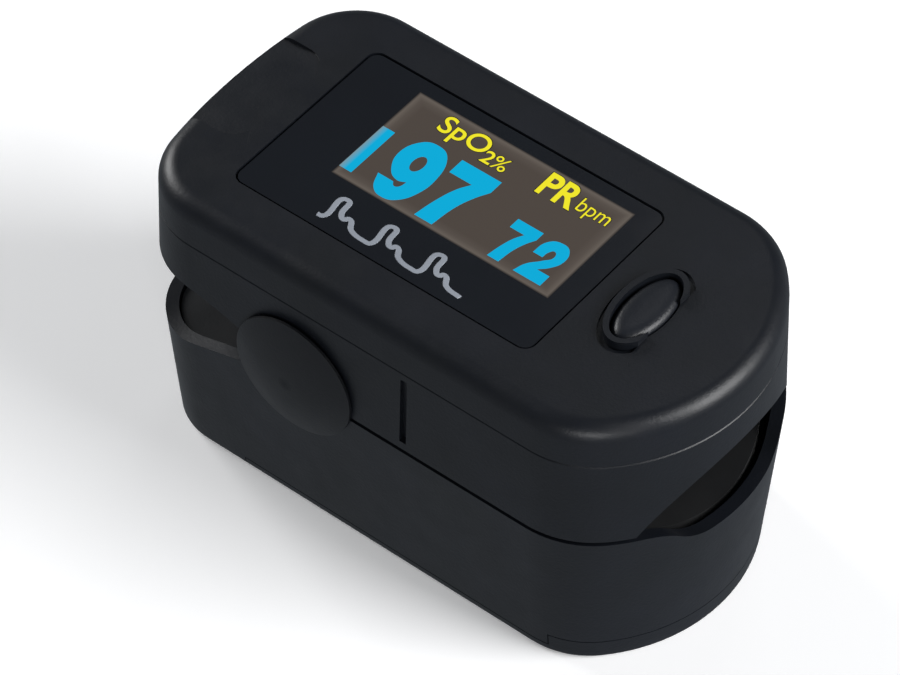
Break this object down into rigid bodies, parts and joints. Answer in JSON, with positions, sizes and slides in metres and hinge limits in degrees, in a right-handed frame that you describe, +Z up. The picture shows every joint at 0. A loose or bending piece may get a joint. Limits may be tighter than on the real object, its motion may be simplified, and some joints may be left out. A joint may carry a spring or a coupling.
{
  "type": "fingertip pulse oximeter",
  "caption": "Fingertip pulse oximeter: two sprung jaws that clip on a finger, a display and an oval power key on top, and a sliding battery door below.",
  "frame": {"origin": "under the middle of the case, on the flat bottom it stands on", "axes": "+X towards the finger opening, +Y towards the left side, +Z up out of the display"},
  "size_m": [0.0567, 0.0338, 0.032],
  "materials": {
    "shell_abs": "satin, finely textured black ABS",
    "key_abs": "fine-grained satin black ABS",
    "hinge_cap_abs": "satin black ABS",
    "window_acrylic": "glossy tinted acrylic",
    "display_glass": "dark display glass with lit figures",
    "silicone": "matte black silicone rubber",
    "clear_lens": "red-tinted clear plastic",
    "board": "green solder mask",
    "chip_epoxy": "black moulded epoxy",
    "flex_film": "amber polyimide film",
    "inner_plastic": "plain black moulding",
    "adhesive": "black adhesive foam",
    "nickel_plate": "nickel-plated spring steel",
    "steel": "bright steel",
    "cell_jacket": "printed film over a steel can"
  },
  "bodies": {
    "lower_jaw": {"lower_case": "shell_abs", "lower_deck": "inner_plastic", "hinge_cap_left": "hinge_cap_abs", "hinge_cap_right": "hinge_cap_abs", "lower_finger_pad": "silicone", "sensor_window": "clear_lens", "photodiode": "chip_epoxy", "sensor_board": "board", "battery_left": "cell_jacket", "battery_right": "cell_jacket", "contact_springs": "nickel_plate", "contact_bridge": "nickel_plate", "contact_plates": "nickel_plate", "deck_screws": "steel", "hinge_pin_left": "steel", "hinge_pin_right": "steel", "torsion_spring_left": "steel", "torsion_spring_right": "steel", "jaw_flex_cable": "flex_film"},
    "upper_jaw": {"upper_case": "shell_abs", "top_cover": "shell_abs", "display_window": "window_acrylic", "window_adhesive": "adhesive", "oled_panel": "display_glass", "display_holder": "inner_plastic", "oled_flex": "flex_film", "main_board": "board", "board_chips": "chip_epoxy", "tact_switch": "chip_epoxy", "upper_finger_pad": "silicone", "emitter_window": "clear_lens", "emitter_leds": "chip_epoxy", "emitter_board": "board", "cover_screws": "steel"},
    "power_key": {"power_button": "key_abs", "switch_plunger": "inner_plastic"},
    "door": {"battery_door": "shell_abs"}
  },
  "joints": [
    {"name": "jaw_hinge", "type": "hinge", "parent": "lower_jaw", "child": "upper_jaw", "pos_m": [-0.0083, 0, 0.0187], "axis": [0, -1, 0], "range_deg": [0, 22], "stiffness_Nm_per_rad": 0.15, "springref_deg": -20.05, "deforming": ["torsion_spring_left", "torsion_spring_right", "jaw_flex_cable"]},
    {"name": "key_press", "type": "slide", "parent": "upper_jaw", "child": "power_key", "axis": [0, 0, -1], "range_m": [0, 0.0004], "stiffness_N_per_m": 400, "springref_m": -0.0002},
    {"name": "door_slide", "type": "slide", "parent": "lower_jaw", "child": "door", "axis": [1, 0, 0], "range_m": [0, 0.033]}
  ]
}
